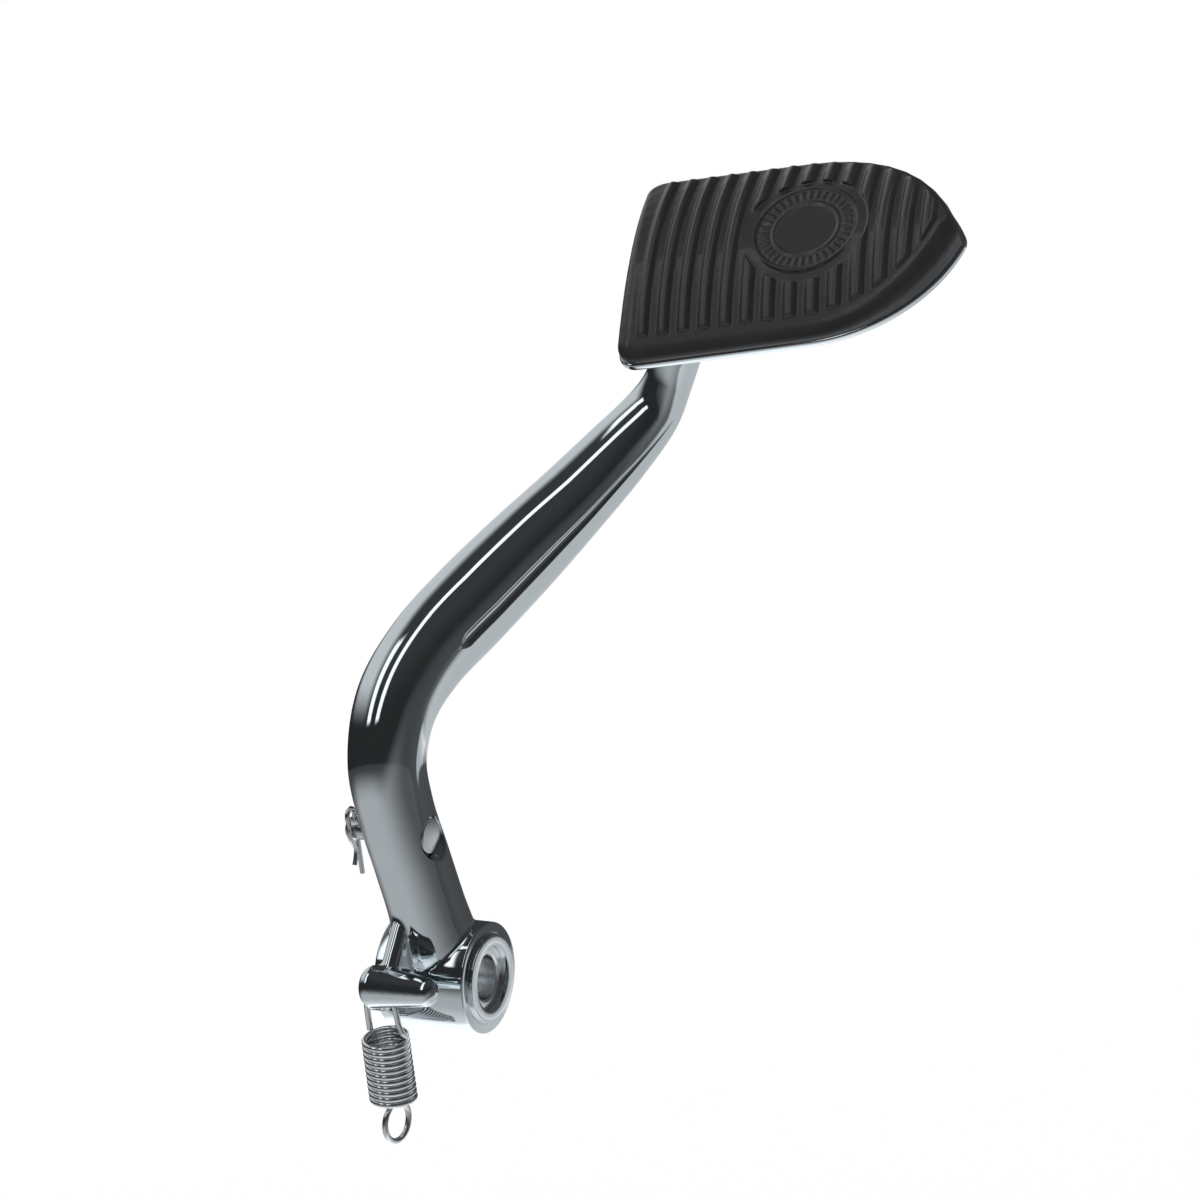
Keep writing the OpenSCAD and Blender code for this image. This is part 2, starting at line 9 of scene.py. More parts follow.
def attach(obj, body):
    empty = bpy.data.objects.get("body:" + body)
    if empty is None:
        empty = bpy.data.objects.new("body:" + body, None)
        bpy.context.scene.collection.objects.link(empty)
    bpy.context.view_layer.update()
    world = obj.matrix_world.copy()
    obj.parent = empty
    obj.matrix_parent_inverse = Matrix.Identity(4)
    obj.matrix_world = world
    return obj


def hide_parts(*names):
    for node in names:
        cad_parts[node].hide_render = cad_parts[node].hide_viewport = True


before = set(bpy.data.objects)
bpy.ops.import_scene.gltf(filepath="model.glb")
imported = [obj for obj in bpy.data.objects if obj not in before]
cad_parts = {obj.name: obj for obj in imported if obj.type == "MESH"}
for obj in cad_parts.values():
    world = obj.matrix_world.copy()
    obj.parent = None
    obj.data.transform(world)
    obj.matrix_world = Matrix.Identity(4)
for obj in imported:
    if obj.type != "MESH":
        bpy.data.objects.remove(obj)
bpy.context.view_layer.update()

# The arm is one steel forging, from the pivot hub up to the underside of the foot plate.
# Its section is a soft oval that swells at the bend, thins to the neck and flares into the plate.
# A styling groove is pressed into its outer side, and polishing leaves fillets round the hub.
STATIONS = [
    (0, -1, -4, 11.6, 11.4),
    (0, -2.2, 11, 11.2, 11.2),
    (-0.8, -3, 21, 10.2, 10.8),
    (-3, -3.6, 35, 10, 10.8),
    (-5.2, -4.6, 50, 9.8, 11.2),
    (-6.6, -3.2, 64, 10, 12),
    (-6.6, 5.6, 76.5, 10.6, 12.1),
    (-4, 19.4, 84.7, 10.7, 12.3),
    (0.6, 38.1, 90.7, 11.1, 12.4),
    (7, 57.7, 97.6, 10.7, 11.7),
    (13.6, 75.3, 104.6, 10, 10.1),
    (20, 90.3, 111.8, 9, 9),
    (26.6, 100.8, 119.9, 7.7, 7.6),
    (31.2, 105.2, 128.6, 6.2, 6.9),
    (33.6, 107, 136, 6.6, 7.3),
]
RINGS_PER_STATION = 24
ROOT_SQUARENESS, BEND_SQUARENESS, BEND_STATIONS = 2.05, 0.2, (5, 8)
NECK_STATION, NECK_RISE, FLARE_RINGS = 13.98, 6, 24
FLARE_AT, FLARE_SIZE = (15, -11), (9.4, 13)
PLATE_LEN, PLATE_THICK = 93, 2.3
plate_place = (
    Matrix.Translation((62.7, 127.8, 156.1))
    @ Matrix.Rotation(math.radians(15.8), 4, "Z")
    @ Matrix.Rotation(math.radians(-6.6), 4, "Y")
    @ Matrix.Rotation(math.radians(23.6), 4, "X")
    @ Matrix.Translation((-PLATE_LEN / 2, 0, 0))
)


def on_stations(s):
    """The smooth curve through the stations: centre x, y, z, half width and half depth."""
    i = max(0, min(math.floor(s), len(STATIONS) - 2))
    t = s - i
    near = (max(0, min(k, len(STATIONS) - 1)) for k in (i - 1, i, i + 1, i + 2))
    a, b, c, d = (Vector(STATIONS[k]) for k in near)
    return 0.5 * (
        2 * b + (c - a) * t + (2 * a - 5 * b + 4 * c - d) * t**2 + (3 * b - a - 3 * c + d) * t**3
    )


def soft_step(value, start, end):
    """From 0 to 1, softly, as the value goes from start to end."""
    t = min(1, max(0, (value - start) / (end - start)))
    return t * t * (3 - 2 * t)


def section(s):
    """Centre, direction, side, depth, both half sizes and squareness of the arm's section."""
    here, before, after = on_stations(s), on_stations(s - 0.05), on_stations(s + 0.05)
    way = Vector((after - before)[:3]).normalized()
    side = (Vector((1, 0, 0)) - way * way.x).normalized()
    squareness = ROOT_SQUARENESS + BEND_SQUARENESS * soft_step(s, *BEND_STATIONS)
    return Vector(here[:3]), way, side, way.cross(side), here[3], here[4], squareness


def flare(t):
    """The section between the neck and the plate, where it turns into the plate's plane."""
    centre, way, side, depth, wide, deep, squareness = section(NECK_STATION)
    end = plate_place @ Vector((*FLARE_AT, -PLATE_THICK / 2))
    along, across = (plate_place.to_3x3() @ Vector(v) for v in ((1, 0, 0), (0, 1, 0)))
    return (
        (centre + way * NECK_RISE * t * (1 - t)).lerp(end, t * (0.4 + 0.6 * t)),
        way,
        side.lerp(along, t).normalized(),
        depth.lerp(across, t).normalized(),
        wide + (FLARE_SIZE[0] - wide) * t**3,
        deep + (FLARE_SIZE[1] - deep) * t**3,
        squareness,
    )


def on_section(place, angle):
    """A point on the soft oval."""
    centre, way, side, depth, wide, deep, squareness = place
    c, s = math.cos(angle), math.sin(angle)
    return (
        centre
        + side * wide * math.copysign(abs(c) ** (2 / squareness), c)
        + depth * deep * math.copysign(abs(s) ** (2 / squareness), s)
    )


GROOVE_FROM, GROOVE_TO, GROOVE_ANGLE = 7.2, 12.7, math.radians(-10)
GROOVE_HALF, GROOVE_HAIR, GROOVE_DEEP = 2.1, 0.25, 0.55
ROUND_END_SHARE = 0.03
HALF_WIDTHS_PER_RADIAN = 1.25
ACROSS_GROOVE = (-1.1, -1, -0.9, -0.7, -0.45, -0.2, 0, 0.2, 0.45, 0.7, 0.9, 1, 1.1)
ROUND_THE_REST = 100


def groove_half(s):
    """Half the groove's width: a round lower end and a long taper to a point."""
    t = (s - GROOVE_FROM) / (GROOVE_TO - GROOVE_FROM)
    if not 0 < t < 1:
        return GROOVE_HAIR
    return max(GROOVE_HAIR, GROOVE_HALF * math.sqrt(min(1, t / ROUND_END_SHARE)) * (1 - t * t))


def grooved_ring(place, s):
    """A section's points: first across the groove, then round the rest of the oval."""
    centre, wide = place[0], place[4]
    half = groove_half(s)
    reach = half / (HALF_WIDTHS_PER_RADIAN * wide)
    angles = [GROOVE_ANGLE + u * reach for u in ACROSS_GROOVE]
    lip, turn = angles[-1], 2 * math.pi - (angles[-1] - angles[0])
    angles += [lip + turn * i / ROUND_THE_REST for i in range(1, ROUND_THE_REST)]
    depths = [GROOVE_DEEP * (half - GROOVE_HAIR) * max(0, 1 - u * u) for u in ACROSS_GROOVE]
    depths += [0] * ROUND_THE_REST
    points = []
    for angle, deep in zip(angles, depths):
        point = on_section(place, angle)
        points.append(point + (centre - point).normalized() * deep)
    return points


def tube(rings):
    """A closed solid through rings of points, from a grid that is bent round and welded."""
    bm = bmesh.new()
    last, sides = len(rings) - 1, len(rings[0])
    bmesh.ops.create_grid(bm, x_segments=sides, y_segments=last, size=0.5)
    for v in bm.verts:
        v.co = rings[round((v.co.y + 0.5) * last)][round((v.co.x + 0.5) * sides) % sides]
    bmesh.ops.remove_doubles(bm, verts=bm.verts, dist=1e-4)
    bmesh.ops.holes_fill(bm, edges=[e for e in bm.edges if e.is_boundary])
    bmesh.ops.recalc_face_normals(bm, faces=bm.faces)
    return bm


def turned(profile, steps=96, at=(0, 0, 0)):
    """A solid turned about X from (x, radius) points that end on the axis, or else a ring."""
    bm = bmesh.new()
    verts = [bm.verts.new((x, 0, r)) for x, r in profile]
    edges = [bm.edges.new(pair) for pair in zip(verts, verts[1:])]
    if profile[0][1] > 0:
        edges.append(bm.edges.new((verts[-1], verts[0])))
    bmesh.ops.spin(
        bm, geom=verts + edges, cent=(0, 0, 0), axis=(1, 0, 0),
        angle=2 * math.pi, steps=steps, use_merge=True,
    )
    bmesh.ops.remove_doubles(bm, verts=bm.verts, dist=1e-4)
    bmesh.ops.recalc_face_normals(bm, faces=bm.faces)
    bmesh.ops.translate(bm, verts=bm.verts, vec=at)
    return bm


def box(low, high):
    """A block between two corners."""
    bm = bmesh.new()
    bmesh.ops.create_cube(bm, size=1)
    low, high = Vector(low), Vector(high)
    bmesh.ops.scale(bm, verts=bm.verts, vec=high - low)
    bmesh.ops.translate(bm, verts=bm.verts, vec=(low + high) / 2)
    return bm


def rod(start, end, radius):
    """A round bar between two points."""
    start, end = Vector(start), Vector(end)
    length = (end - start).length
    bm = turned([(0, 0), (0, radius), (length, radius), (length, 0)], 48)
    turn = (end - start).to_track_quat("X", "Z").to_matrix().to_4x4()
    bmesh.ops.transform(bm, matrix=Matrix.Translation(start) @ turn, verts=bm.verts)
    return bm


def slab(corners, push):
    """A flat plate from its corners, pushed out to a thickness."""
    bm = bmesh.new()
    face = bm.faces.new([bm.verts.new(corner) for corner in corners])
    pushed = bmesh.ops.extrude_face_region(bm, geom=[face])["geom"]
    far_side = [g for g in pushed if isinstance(g, bmesh.types.BMVert)]
    bmesh.ops.translate(bm, verts=far_side, vec=push)
    bmesh.ops.recalc_face_normals(bm, faces=bm.faces)
    return bm


def sliced(bm, height, low_side):
    """Keeps what lies on one side of a level plane, and leaves it open there."""
    bmesh.ops.bisect_plane(
        bm, geom=bm.verts[:] + bm.edges[:] + bm.faces[:],
        plane_co=(0, 0, height), plane_no=(0, 0, 1),
        clear_outer=low_side, clear_inner=not low_side,
    )


def made(name, *solids):
    """Puts solids that are drawn in millimetres into one object, in metres."""
    mesh = bpy.data.meshes.new(name)
    whole = bmesh.new()
    for bm in solids:
        part = bpy.data.meshes.new("part")
        bm.to_mesh(part)
        whole.from_mesh(part)
        bm.free()
        bpy.data.meshes.remove(part)
    bmesh.ops.scale(whole, verts=whole.verts, vec=(0.001, 0.001, 0.001))
    whole.to_mesh(mesh)
    whole.free()
    piece = bpy.data.objects.new(name, mesh)
    bpy.context.scene.collection.objects.link(piece)
    return piece


def as_mesh(piece):
    """The mesh of an object, with its modifiers or its wire's thickness in it."""
    bpy.context.view_layer.update()
    shown = piece.evaluated_get(bpy.context.evaluated_depsgraph_get())
    return bpy.data.meshes.new_from_object(shown)


def modified(piece, *steps):
    """Applies modifiers in order, each given as its type and its settings."""
    for kind, settings in steps:
        modifier = piece.modifiers.new(kind.lower(), kind)
        for key, value in settings.items():
            setattr(modifier, key, value)
    fresh = as_mesh(piece)
    piece.modifiers.clear()
    piece.data = fresh
    return piece


def cut(piece, *cutters):
    """Cuts solids away, one after another."""
    for cutter in cutters:
        settings = {"object": cutter, "operation": "DIFFERENCE", "solver": "EXACT"}
        modified(piece, ("BOOLEAN", settings))
        bpy.data.objects.remove(cutter)


def smooth(piece, angle=35):
    """Smooth shading that keeps edges sharper than the angle."""
    piece.data.shade_smooth()
    piece.data.set_sharp_from_angle(angle=math.radians(angle))
    return piece


SEAM_Z, SEAM_LAP, BLEND_LOW, BLEND_HIGH = 30, 5, 4.5, 1.5
arm_stations = [
    (section(i / RINGS_PER_STATION), i / RINGS_PER_STATION)
    for i in range(round(NECK_STATION * RINGS_PER_STATION))
]
arm_stations += [(flare(i / FLARE_RINGS), NECK_STATION) for i in range(FLARE_RINGS + 1)]
arm_bar = tube([grooved_ring(place, s) for place, s in arm_stations])
arm_surface = BVHTree.FromBMesh(arm_bar)
arm_root = arm_bar.copy()
sliced(arm_root, SEAM_Z + SEAM_LAP, True)
bmesh.ops.holes_fill(arm_root, edges=[e for e in arm_root.edges if e.is_boundary])

HUB_R, HUB_HALF, SEAT_R, PAST_HUB = 15, 13.3, 8.7, 40
hub_barrel = turned([(-HUB_HALF, 0), (-HUB_HALF, HUB_R), (HUB_HALF, HUB_R), (HUB_HALF, 0)])
bore = made(
    "bore", turned([(-PAST_HUB, 0), (-PAST_HUB, SEAT_R), (PAST_HUB, SEAT_R), (PAST_HUB, 0)])
)

STUD_AXIS = (0, -25.2, 7.4)
STUD_BACK_X, STUD_DOME, STUD_R = -10.7, 3.6, 5.9
STUD_TIP_X, STUD_NOSE, STUD_TIP_R = 9.17, 2.73, 3.9
quarter = [math.radians(9 * i) for i in range(11)]
spring_stud = turned(
    [(STUD_BACK_X + STUD_DOME * (1 - math.cos(a)), STUD_R * math.sin(a)) for a in quarter]
    + [(STUD_TIP_X + STUD_NOSE * math.sin(a), STUD_TIP_R * math.cos(a)) for a in quarter],
    at=STUD_AXIS,
)

WEB_X, WEB_HALF = -4, 2.4
WEB_CORNERS = ((-10.8, 21), STUD_AXIS[1:], (-12, 6.4), (-8, 15))
web_bar = rod((WEB_X, *WEB_CORNERS[0]), (WEB_X, *WEB_CORNERS[1]), WEB_HALF)
web_plate = slab([(WEB_X - WEB_HALF, *c) for c in WEB_CORNERS], (2 * WEB_HALF, 0, 0))

EAR, EAR_R, EAR_ROOT_Y, EAR_HOLE_R, PAST_EAR = (-9.2, -19.6, 1.8), 4.2, -12, 1.6, 4


def through_ear(reach, radius):
    """A bar along the axis of the ear's hole."""
    return rod((EAR[0] - reach, *EAR[1:]), (EAR[0] + reach, *EAR[1:]), radius)


ear_root = box(
    (EAR[0] - WEB_HALF, EAR[1], EAR[2] - EAR_R), (EAR[0] + WEB_HALF, EAR_ROOT_Y, EAR[2] + EAR_R)
)
hub_forging = made(
    "hub_forging", arm_root, hub_barrel, spring_stud, web_bar, web_plate,
    through_ear(WEB_HALF, EAR_R), ear_root,
)
FORGING_VOXEL, FILLET_ROUNDS = 0.0004, 26
modified(
    hub_forging,
    ("REMESH", {"mode": "VOXEL", "voxel_size": FORGING_VOXEL}),
    ("SMOOTH", {"factor": 0.5, "iterations": FILLET_ROUNDS}),
)
cut(hub_forging, bore, made("ear_hole", through_ear(PAST_EAR, EAR_HOLE_R)))

PIN_Y, PIN_Z, PIN_FACE_X, PAST_ARM = -4.8, 43.4, 2.6, 30
PIN_HOLE_R, HEAD_SEAT_R, MOUTH_R = 3.05, 5.2, 7.2
MOUTH_FROM, MOUTH_TO = PIN_FACE_X + 1.6, PIN_FACE_X + 4.6
SLOT_LOW, SLOT_HIGH, SLOT_R = -8.9, -0.9, 5.6
pin_hole = turned(
    [
        (-PAST_ARM, 0), (-PAST_ARM, PIN_HOLE_R), (PIN_FACE_X, PIN_HOLE_R),
        (PIN_FACE_X, HEAD_SEAT_R), (MOUTH_FROM, HEAD_SEAT_R), (MOUTH_TO, MOUTH_R),
        (PAST_ARM, MOUTH_R), (PAST_ARM, 0),
    ],
    at=(0, PIN_Y, PIN_Z),
)
slot_end = rod((SLOT_LOW, PIN_Y, PIN_Z), (SLOT_HIGH, PIN_Y, PIN_Z), SLOT_R)
slot_mouth = box((SLOT_LOW, PIN_Y, PIN_Z - SLOT_R), (SLOT_HIGH, PAST_ARM, PIN_Z + SLOT_R))
slot = modified(
    made("slot", slot_end, slot_mouth),
    ("REMESH", {"mode": "VOXEL", "voxel_size": FORGING_VOXEL}),
)
arm_forged = made("arm_forged", arm_bar)
cut(arm_forged, made("pin_hole", pin_hole), slot)


def beside_seam(piece, low_side):
    """One side of the seam as an open shell; the low side is drawn onto the arm's surface."""
    shell = bmesh.new()
    shell.from_mesh(piece.data)
    bmesh.ops.scale(shell, verts=shell.verts, vec=(1000, 1000, 1000))
    if low_side:
        for v in shell.verts:
            share = soft_step(v.co.z, SEAM_Z - BLEND_LOW, SEAM_Z - BLEND_HIGH)
            v.co = v.co.lerp(arm_surface.find_nearest(v.co)[0], share)
    sliced(shell, SEAM_Z, low_side)
    bpy.data.objects.remove(piece)
    return shell


forging = smooth(
    made("arm_forging", beside_seam(arm_forged, False), beside_seam(hub_forging, True)), 55
)


class Field:
    """A number that changes over a surface; arithmetic on it adds Math nodes."""

    def __init__(self, finish, socket):
        self.finish, self.socket = finish, socket

    def __add__(self, other):
        return self.finish.node("Math", {"operation": "ADD"}, {0: self, 1: other})

    def __mul__(self, other):
        return self.finish.node("Math", {"operation": "MULTIPLY"}, {0: self, 1: other})

    def __sub__(self, other):
        return self.finish.node("Math", {"operation": "SUBTRACT"}, {0: self, 1: other})

    def __rsub__(self, other):
        return self.finish.node("Math", {"operation": "SUBTRACT"}, {0: other, 1: self})

    def __truediv__(self, other):
        return self.finish.node("Math", {"operation": "DIVIDE"}, {0: self, 1: other})

    __radd__, __rmul__ = __add__, __mul__


class Nodes:
    """A shader tree, with the one method that makes its nodes."""

    def __init__(self, tree):
        self.tree = tree

    def node(self, kind, settings=None, inputs=None, output=0):
        made_node = self.tree.nodes.new("ShaderNode" + kind)
        for key, value in (settings or {}).items():
            setattr(made_node, key, value)
        for key, value in (inputs or {}).items():
            if isinstance(value, Field):
                self.tree.links.new(value.socket, made_node.inputs[key])
            else:
                made_node.inputs[key].default_value = value
        return Field(self, made_node.outputs[output])


class Finish(Nodes):
    """A material with one Principled shader."""

    def __init__(self, name, **constants):
        self.material = bpy.data.materials.new(name)
        self.material.use_nodes = True
        super().__init__(self.material.node_tree)
        self.shader = self.tree.nodes["Principled BSDF"]
        for key, value in constants.items():
            self.shader.inputs[key.replace("_", " ")].default_value = value
        self.place = self.node("TexCoord", output="Object")

    def feed(self, name, field):
        self.tree.links.new(field.socket, self.shader.inputs[name])

    def noise(self, size_mm, detail=3.0, stretch=(1, 1, 1), roughness=0.5):
        where = self.place
        if stretch != (1, 1, 1):
            where = self.node("Mapping", {}, {"Vector": where, "Scale": stretch})
        inputs = {"Scale": 1000 / size_mm, "Detail": detail, "Roughness": roughness}
        return self.node("TexNoise", {}, {"Vector": where, **inputs})

    def bump(self, height, depth_mm):
        self.feed("Normal", self.node("Bump", {}, {"Height": height, "Distance": depth_mm / 1000}))

    def tint(self, share, first, second):
        colours = {"Factor": share, 6: (*first, 1), 7: (*second, 1)}
        return self.node("Mix", {"data_type": "RGBA"}, colours, output=2)

    def on(self, *pieces):
        for piece in pieces:
            piece.data.materials.clear()
            piece.data.materials.append(self.material)


chrome = Finish("polished_chrome", Metallic=1.0, Base_Color=(0.76, 0.815, 0.84, 1))
chrome.feed("Roughness", chrome.noise(9, 4) * 0.05 + 0.03)
chrome.bump(chrome.noise(6, 2), 0.012)
chrome.on(forging)
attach(forging, "pedal")
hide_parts("pedal_arm")

# The hub's two ends are faced on a lathe: a flat shoulder and a raised seal land round the bore.
# They are the same piece of steel as the arm and carry the same chrome.
END_X, LAND_X, LAND_R = 9, 14.7, 12
END_R = HUB_R + 0.02
ROUND_STEPS = 4


def rounded(profile, sizes):
    """The profile with its corners rounded: a size for each corner, 0 to keep it."""
    out = []
    for k, size in enumerate(sizes):
        here = Vector(profile[k])
        if not size:
            out.append(tuple(here))
            continue
        a, b = (Vector(profile[(k + d) % len(profile)]) for d in (-1, 1))
        start, end = here + (a - here).normalized() * size, here + (b - here).normalized() * size
        for i in range(ROUND_STEPS + 1):
            t = i / ROUND_STEPS
            out.append(tuple((1 - t) ** 2 * start + 2 * t * (1 - t) * here + t**2 * end))
    return out


end_profile = rounded(
    [
        (END_X, SEAT_R), (END_X, END_R), (HUB_HALF, END_R),
        (HUB_HALF, LAND_R), (LAND_X, LAND_R), (LAND_X, SEAT_R),
    ],
    [0, 0, 0.5, 0.15, 0.3, 0.25],
)
hub_ends = made(
    "hub_ends", turned(end_profile, 128), turned([(-x, r) for x, r in end_profile], 128)
)
smooth(hub_ends)
chrome.on(hub_ends)
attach(hub_ends, "pedal")

# The foot plate is part of the forging too: a flat bullet-shaped plate with softened edges.
# Four holes take the rubber pad's studs.
CORNER_R, TIP_R, END_SLANT = 5.5, 6, 0.07
FRONT_HALF, FRONT_NOSE_R, REAR_HALF, REAR_NOSE_R = 33, 51, 29, 43
CORNER_STEPS, SIDE_STEPS, TIP_STEPS = 10, 32, 8
EDGE_ROUND, STUD_HOLE_R, PAST_PLATE = 0.7, 3.1, 9
STUDS = ((9, 20), (50, 22), (56, -17), (80, 0))


def arc(centre, radius, start, end, steps):
    """Points of an arc, with its angles measured from +Y towards +X."""
    angles = [start + (end - start) * i / steps for i in range(steps + 1)]
    return [(centre[0] + radius * math.sin(a), centre[1] + radius * math.cos(a)) for a in angles]


def plate_edge(half, nose_r):
    """One long side of the plate, from its inner corner to the middle of its tip."""
    sweep = math.acos((nose_r - half) / (nose_r - TIP_R))
    nose_x = PLATE_LEN - TIP_R - (nose_r - TIP_R) * math.sin(sweep)
    return (
        arc((CORNER_R, half - CORNER_R), CORNER_R, -math.pi / 2, 0, CORNER_STEPS)
        + arc((nose_x, half - nose_r), nose_r, 0, sweep, SIDE_STEPS)
        + arc((PLATE_LEN - TIP_R, 0), TIP_R, sweep, math.pi / 2, TIP_STEPS)[1:]
    )


front_edge = plate_edge(FRONT_HALF, FRONT_NOSE_R)
rear_edge = [(x, -y) for x, y in plate_edge(REAR_HALF, REAR_NOSE_R)[-2::-1]]
outline = [(x + END_SLANT * y * (1 - x / PLATE_LEN), y, 0) for x, y in front_edge + rear_edge]
plate = slab(outline, (0, 0, -PLATE_THICK))
rims = [e for e in plate.edges if abs(e.verts[0].co.z - e.verts[1].co.z) < 0.01]
bmesh.ops.bevel(
    plate, geom=rims, affect="EDGES", offset=EDGE_ROUND, segments=4, profile=0.5, material=-1
)
bmesh.ops.transform(plate, matrix=plate_place, verts=plate.verts)
foot_plate = made("foot_plate", plate)
stud_holes = [
    rod(
        plate_place @ Vector((x, y, -PAST_PLATE)),
        plate_place @ Vector((x, y, PAST_PLATE)),
        STUD_HOLE_R,
    )
    for x, y in STUDS
]
cut(foot_plate, made("holes", *stud_holes))
smooth(foot_plate)
chrome.on(foot_plate)
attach(foot_plate, "pedal")

# The foot pad is compression-moulded rubber with a crowned top, raised ribs and a plain badge.
# Its studs are pulled through the plate. The mould leaves every edge slightly round.
PAD_VOXEL, PAD_ROUNDS, PAD_KEPT = 0.00028, 3, 0.43
DARK_RUBBER, WORN_RUBBER = (0.011, 0.0118, 0.0128), (0.018, 0.019, 0.0205)
pad_shape = bmesh.new()
pad_shape.from_mesh(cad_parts["pedal_pad"].data)
bmesh.ops.remove_doubles(pad_shape, verts=pad_shape.verts, dist=1e-6)
bmesh.ops.scale(pad_shape, verts=pad_shape.verts, vec=(1000, 1000, 1000))
foot_pad = made("foot_pad", pad_shape)
modified(
    foot_pad,
    ("REMESH", {"mode": "VOXEL", "voxel_size": PAD_VOXEL}),
    ("SMOOTH", {"factor": 0.5, "iterations": PAD_ROUNDS}),
    ("DECIMATE", {"ratio": PAD_KEPT}),
)
foot_pad.data.shade_smooth()
rubber = Finish("moulded_rubber", Specular_IOR_Level=0.5, Coat_Weight=0.45, Coat_Roughness=0.14)
grain = rubber.noise(0.5, 2)
scuffs = rubber.noise(14, 5, roughness=0.65)
rubber.feed("Base Color", rubber.tint(scuffs, DARK_RUBBER, WORN_RUBBER))
rubber.feed("Roughness", scuffs * 0.16 + 0.29)
rubber.bump(grain, 0.03)
rubber.on(foot_pad)
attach(foot_pad, "pedal")
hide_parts("pedal_pad")

# Two plain steel bushes are pressed into the hub and stand a little below its seal lands.
# They are turned, and their bores are reamed with a small lead at each end.
BUSH_LEN, BUSH_R, BUSH_BORE_R, LEAD = 9.5, SEAT_R - 0.02, 6, 0.5
BUSH_AT = (("outer_bush", 3.4), ("inner_bush", -12.9))
bush_steel = Finish("turned_bush_steel", Metallic=1.0, Base_Color=(0.92, 0.93, 0.94, 1))
rings = bush_steel.noise(0.35, 2, (1, 0.03, 0.03))
bush_steel.feed("Roughness", rings * 0.15 + 0.16)
bush_steel.bump(rings, 0.004)
bush_profile = rounded(
    [
        (0, BUSH_BORE_R + LEAD), (0, BUSH_R), (BUSH_LEN, BUSH_R),
        (BUSH_LEN, BUSH_BORE_R + LEAD), (BUSH_LEN - LEAD, BUSH_BORE_R), (LEAD, BUSH_BORE_R),
    ],
    [0.1, 0.3, 0.3, 0.1, 0.1, 0.1],
)
for name, x in BUSH_AT:
    bush = smooth(made(name + "_turned", turned(bush_profile, 128, (x, 0, 0))))
    bush_steel.on(bush)
    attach(bush, "pedal")
    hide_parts(name)

# The rod pin is a headed, zinc-plated clevis pin across the slot for the brake rod's eye.
# A hole across its inner end takes the hairpin clip.
PIN_R, HEAD_R, HEAD_THICK, PIN_TAIL = 3, 4.8, 2, 2
HEAD_X, CLIP_X = PIN_FACE_X + 0.1, -18
CROSS_HOLE_R, PAST_PIN = 0.75, 6
plated = Finish("bright_zinc_plate", Metallic=1.0, Base_Color=(0.66, 0.67, 0.69, 1))
lathe_marks = plated.noise(0.5, 2, (1, 0.05, 0.05))
plated.feed("Roughness", plated.noise(5, 3) * 0.1 + lathe_marks * 0.1 + 0.1)
plated.bump(lathe_marks, 0.003)
pin_profile = rounded(
    [
        (CLIP_X - PIN_TAIL, 0), (CLIP_X - PIN_TAIL, PIN_R), (HEAD_X, PIN_R),
        (HEAD_X, HEAD_R), (HEAD_X + HEAD_THICK, HEAD_R), (HEAD_X + HEAD_THICK, 0),
    ],
    [0, 0.7, 0, 0.25, 0.4, 0],
)
rod_pin = made("rod_pin_turned", turned(pin_profile, 96, (0, PIN_Y, PIN_Z)))
cross_hole = rod(
    (CLIP_X, PIN_Y, PIN_Z - PAST_PIN), (CLIP_X, PIN_Y, PIN_Z + PAST_PIN), CROSS_HOLE_R
)
cut(rod_pin, made("cross_hole", cross_hole))
smooth(rod_pin)
plated.on(rod_pin)
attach(rod_pin, "rod_pin")
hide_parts("rod_pin")

# The hairpin clip is one bent wire, plated like the pin.
# Its straight leg goes through the pin and its bowed leg grips the pin from outside.
CLIP_WIRE, CLIP_BOW, CLIP_TOP = 1.3, 3.95, 4.6
bend = CLIP_BOW / 2
over_top = [math.radians(15 * i) for i in range(13)]
round_pin = [math.radians(150 + 15 * i) for i in range(6)]
clip_path = (
    [(0, z) for z in (-13.3, -10, -7, -4, -1, 2, 3.5)]
    + [(-bend + bend * math.cos(a), CLIP_TOP + bend * math.sin(a)) for a in over_top]
    + [(CLIP_BOW * math.cos(a), CLIP_BOW * math.sin(a)) for a in round_pin]
    + [(-1.9, -4.4), (-1.5, -5.4), (-1.7, -6.6), (-2.7, -8.3), (-3.5, -9.4)]
)


def bent_wire(name, points, diameter):
    """Drawn wire along points, in millimetres, with closed ends."""
    line = bpy.data.curves.new(name, "CURVE")
    line.dimensions = "3D"
    line.bevel_depth, line.bevel_resolution, line.use_fill_caps = diameter / 2000, 4, True
    spline = line.splines.new("POLY")
    spline.points.add(len(points) - 1)
    for point, at in zip(spline.points, points):
        point.co = (*(c / 1000 for c in at), 1)
    drawn = bpy.data.objects.new(name + "_line", line)
    bpy.context.scene.collection.objects.link(drawn)
    mesh = as_mesh(drawn)
    bpy.data.objects.remove(drawn)
    piece = bpy.data.objects.new(name, mesh)
    bpy.context.scene.collection.objects.link(piece)
    return smooth(piece, 50)


clip_points = [(CLIP_X, PIN_Y + y, PIN_Z + z) for y, z in clip_path]
hairpin = bent_wire("hairpin_wire", clip_points, CLIP_WIRE)
plated.on(hairpin)
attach(hairpin, "rod_pin")
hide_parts("hairpin_clip")

